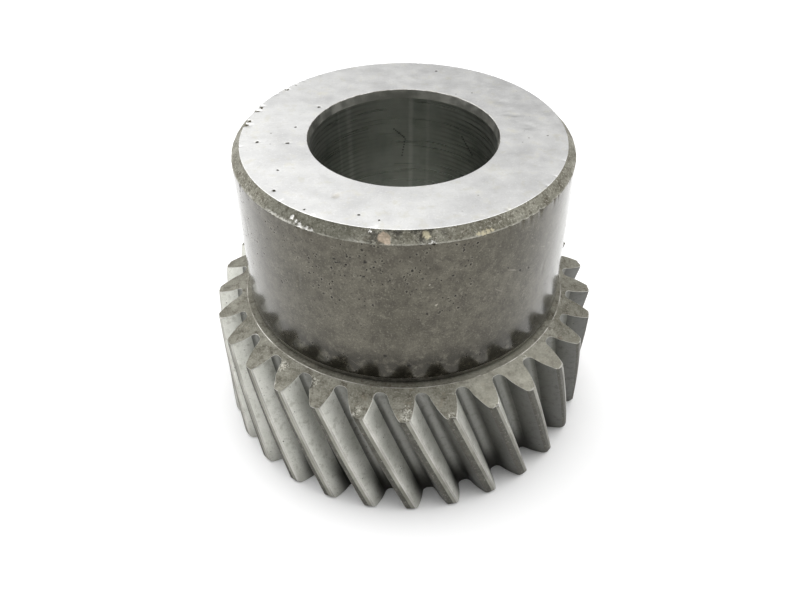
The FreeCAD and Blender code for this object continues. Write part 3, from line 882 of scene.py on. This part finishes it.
# lower end face, from the bore outwards
r_in, a_in = inset(bevel_bot)
add(np.stack([SPIGOT_R * np.sin(A2), -SPIGOT_R * np.cos(A2), np.full(NC, 0.35)], -1), END_ROW)
full_a = A2 + K * TIP_Z
base_r0 = SPIGOT_R + 0.35
b_a = a_in + K * TIP_Z
add(np.stack([base_r0 * np.sin(full_a), -base_r0 * np.cos(full_a), np.full(NC, 0.03)], -1), END_ROW)
for t in (0.012, 0.2, 0.4, 0.6, 0.8, 0.93, 0.985, 1.0):
    r = base_r0 + (r_in - base_r0) * t
    a = full_a + (b_a - full_a) * t**2
    add(np.stack([r * np.sin(a), -r * np.cos(a), foot(r)], -1), END_ROW if t < 1 else BOT_EDGE)
# rounded lower edge
r_m, a_m = inset(bevel_bot * 0.32)
add(turned(r_m, a_m, foot(r_m) + bevel_bot * 0.32), BOT_EDGE)
add(turned(R2, A2, foot(R2) + bevel_bot), FLANK_ROW)
# helical tooth surfaces
z_low, z_high = foot(R2) + bevel_bot, cone(R2) - bevel_top
for t in np.concatenate([[0.012], np.linspace(0, 1, 31)[1:-1], [0.988]]):
    add(turned(R2, A2, z_low + (z_high - z_low) * t), FLANK_ROW)
add(turned(R2, A2, z_high), EDGE_ROW)
# rounded upper edge
r_m, a_m = inset(bevel_top * 0.3)
add(turned(r_m, a_m, cone(r_m) - bevel_top * 0.3), EDGE_ROW)
r_t, a_t = inset(bevel_top)
add(turned(r_t, a_t, cone(r_t)), CONE_ROW)
# cone face, from the teeth in to the turned ledge; angles go straight to the same angle at the ledge
for t in (0.02, 0.07, 0.14, 0.22, 0.31, 0.41, 0.52, 0.63, 0.74, 0.84, 0.92, 0.97):
    r = r_t + (LEDGE_R + 0.12 - r_t) * t
    add(turned(r, a_t, cone(r)) if False else np.stack([
        r * np.sin(a_t + K * (TIP_Z - cone(r_t))), -r * np.cos(a_t + K * (TIP_Z - cone(r_t))), cone(r)], -1), CONE_ROW)
a_c = a_t + K * (TIP_Z - cone(r_t))


def ring_row(r, z, kind):
    add(np.stack([r * np.sin(a_c), -r * np.cos(a_c), np.full(NC, z)], -1), kind)


ring_row(LEDGE_R + 0.10, cone(LEDGE_R + 0.10), LEDGE_ROW)
ring_row(LEDGE_R + 0.02, SEAT_Z - 0.012, LEDGE_ROW)
ring_row(LEDGE_R - 0.07, SEAT_Z, SEAT_ROW)
ring_row(LEDGE_R - 0.22, SEAT_Z, SEAT_ROW)
ring_row(39.6, SEAT_Z, SEAT_ROW)
ring_row(36.0, SEAT_Z, SEAT_ROW)
ring_row(SPIGOT_R + 1.2, SEAT_Z, SEAT_ROW)
ring_row(SPIGOT_R, SEAT_Z - 1.2, END_ROW)
ring_row(SPIGOT_R, SEAT_Z * 0.5, END_ROW)

G = np.stack(loops)
rows = len(G)
gear_materials = [M_CONE, M_FLANK, M_LAND, M_END, M_TIPEDGE, M_REL, M_FLANK_SHADED, M_ROOT_SHADED, M_LEDGE, M_RUB]
zone_to_mat = {RT: 7, FL: 6, BR: 4, LD: 2, FR: 1, RB: 9}
zm = np.array([zone_to_mat[z] for z in SZ])
fm = np.zeros((rows, NC), int)
for i, k in enumerate(row_mat):
    if k == FLANK_ROW:
        fm[i] = zm
    elif k == CONE_ROW:
        fm[i] = 0
    elif k == EDGE_ROW:
        fm[i] = 4
    elif k == LEDGE_ROW:
        fm[i] = 8
    elif k == BOT_EDGE:
        fm[i] = np.where((zm == 2) | (zm == 9), 2, 1)
    elif k == SEAT_ROW:
        fm[i] = 0
    else:
        fm[i] = 3
P = G.reshape(-1, 3)
# outward normals of the grid, for chips and lumps
du = np.roll(G, -1, 1) - np.roll(G, 1, 1)
dv = np.roll(G, -1, 0) - np.roll(G, 1, 0)
N = np.cross(du, dv)
N /= np.maximum(np.linalg.norm(N, axis=2, keepdims=True), 1e-12)
i_mid = row_mat.index(FLANK_ROW) + 12
land_col = per // 2
probe = N[i_mid, land_col]
radial = G[i_mid, land_col].copy()
radial[2] = 0
if probe @ radial < 0:
    N = -N
N = N.reshape(-1, 3)
on_cone = np.repeat((np.array(row_mat) == CONE_ROW)[:, None], NC, 1).ravel()
lump = (fbm(P, 2.8, 3, 81) - 0.5) * 0.10 + (fbm(P, 0.8, 2, 82) - 0.5) * 0.07
P = np.where(on_cone[:, None], P + N * np.minimum(lump, 0.012)[:, None], P)
dents = [
    (-21.7, -38.8, 34.8, 1.1, 0.35), (-21.6, -37.6, 35.2, 0.6, 0.25), (-11.0, -47.9, 33.1, 0.9, 0.40), (-10.3, -46.2, 34.0, 0.6, 0.2),
    (0.0, -48.3, 33.4, 0.9, 0.35), (0.9, -46.6, 34.0, 0.6, 0.18), (11.0, -48.0, 33.1, 0.9, 0.40), (21.1, -44.4, 33.2, 0.8, 0.3),
    (30.9, -36.5, 33.6, 0.7, 0.25), (-37.6, -21.0, 35.3, 0.7, 0.2), (-31.0, -37.6, 33.3, 0.7, 0.3),
]
for i in range(TEETH):  # every tooth has a bruised corner or two
    for s in (-1, 1):
        a = PHASE + 2 * math.pi * i / TEETH + s * land * rng.uniform(0.4, 1.0)
        dents.append((TIP_R * math.sin(a), -TIP_R * math.cos(a), TIP_Z, rng.uniform(0.35, 0.8), rng.uniform(0.05, 0.26)))
    for _ in range(2):
        z = rng.uniform(3, 31)
        a = PHASE + 2 * math.pi * i / TEETH + K * (TIP_Z - z) + rng.choice((-1, 1)) * ha
        dents.append((TIP_R * math.sin(a), -TIP_R * math.cos(a), z, rng.uniform(0.35, 0.7), rng.uniform(0.05, 0.18)))
P = crater(P, N, dents)
gear = grid_mesh("gear_ring_finished", P.reshape(rows, NC, 3), fm, gear_materials)
if signed_volume(gear) < 0:
    gear.data.flip_normals()
print("gear rows", rows, "cols", NC, "faces", len(gear.data.polygons), "volume cm3", signed_volume(gear) * 1e6)

for ob, node, slot in ((sleeve, "hub_sleeve", "ground_steel"), (gear, "gear_ring", "tooth_steel")):
    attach(ob, "root")
    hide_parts(node)

# =====================================================================================
# Floor, light and camera
# =====================================================================================
fl = bpy.data.meshes.new("floor")
s = 3.0
fl.from_pydata([(-s, -s, 0), (s, -s, 0), (s, s, 0), (-s, s, 0)], [], [(0, 1, 2, 3)])
floor = bpy.data.objects.new("floor", fl)
bpy.context.scene.collection.objects.link(floor)
floor.location.z = -0.00002
fm_ = bpy.data.materials.new("paper")
fm_.use_nodes = True
pb = fm_.node_tree.nodes["Principled BSDF"]
pb.inputs["Base Color"].default_value = (0.92, 0.92, 0.92, 1)
pb.inputs["Roughness"].default_value = 0.9
pb.inputs["Specular IOR Level"].default_value = 0.0
fl.materials.append(fm_)

world = bpy.data.worlds.new("studio")
bpy.context.scene.world = world
world.use_nodes = True
wt = world.node_tree
wt.nodes.clear()
wo = wt.nodes.new("ShaderNodeOutputWorld")
bg = wt.nodes.new("ShaderNodeBackground")
wt.links.new(bg.outputs[0], wo.inputs[0])
bg.inputs["Color"].default_value = (1, 1, 1, 1)
# soft light by direction: (elevation, azimuth from behind towards the right, tightness, strength)
LIGHT = [
    (5, 45, 8, 0.216), (5, 90, 8, 0.434), (5, 135, 8, 0.011), (5, 225, 8, 0.135), (5, 270, 8, 0.429), (5, 315, 8, 0.583),
    (30, 0, 9, 0.098), (30, 45, 9, 0.605), (30, 90, 9, 1.068), (30, 135, 9, 0.171), (30, 225, 9, 0.281), (30, 270, 9, 0.972),
    (30, 315, 9, 1.348), (58, 341, 12, 1.60), (58, 60, 12, 1.708), (58, 120, 12, 1.158), (58, 240, 12, 0.707), (58, 300, 12, 1.579),
    (76, 0, 35, 0.979), (76, 90, 35, 0.942), (76, 180, 35, 0.471), (76, 270, 35, 0.670), (90, 0, 45, 0.821),
]
wc = wt.nodes.new("ShaderNodeTexCoord")
total = None
for el, az, tight, power in LIGHT:
    el, az = math.radians(el), math.radians(az)
    dn = wt.nodes.new("ShaderNodeVectorMath")
    dn.operation = "DOT_PRODUCT"
    wt.links.new(wc.outputs["Generated"], dn.inputs[0])
    dn.inputs[1].default_value = (math.cos(el) * math.sin(az), math.cos(el) * math.cos(az), math.sin(el))
    ma = wt.nodes.new("ShaderNodeMath")
    ma.operation = "MULTIPLY_ADD"
    wt.links.new(dn.outputs["Value"], ma.inputs[0])
    ma.inputs[1].default_value, ma.inputs[2].default_value = tight, -tight + math.log(power)
    ex = wt.nodes.new("ShaderNodeMath")
    ex.operation = "EXPONENT"
    wt.links.new(ma.outputs[0], ex.inputs[0])
    if total is None:
        total = ex.outputs[0]
    else:
        ad = wt.nodes.new("ShaderNodeMath")
        ad.operation = "ADD"
        wt.links.new(total, ad.inputs[0])
        wt.links.new(ex.outputs[0], ad.inputs[1])
        total = ad.outputs[0]
wt.links.new(total, bg.inputs["Strength"])

# camera, from the perspective of the reference view
F_PX = 826.5789
cy, cz, yaw, pitch, roll = 4.2724, 4.3553, -0.0061, 0.7112, -0.0058
fwd = Vector((math.sin(yaw) * math.cos(pitch), math.cos(yaw) * math.cos(pitch), -math.sin(pitch)))
right = Vector((math.cos(yaw), -math.sin(yaw), 0))
up = right.cross(fwd)
r2 = math.cos(roll) * right + math.sin(roll) * up
u2 = -math.sin(roll) * right + math.cos(roll) * up
cam_data = bpy.data.cameras.new("camera")
cam_data.sensor_width = 36.0
cam_data.lens = 36.0 * F_PX / 800.0
cam_data.clip_start, cam_data.clip_end = 0.01, 20.0
cam = bpy.data.objects.new("camera", cam_data)
bpy.context.scene.collection.objects.link(cam)
loc = Vector((0, -cy * HUB_R * MM, cz * HUB_R * MM))
m = Matrix(((r2.x, u2.x, -fwd.x, loc.x), (r2.y, u2.y, -fwd.y, loc.y), (r2.z, u2.z, -fwd.z, loc.z), (0, 0, 0, 1)))
cam.matrix_world = m
bpy.context.scene.camera = cam
bpy.context.scene.view_settings.view_transform = "Standard"
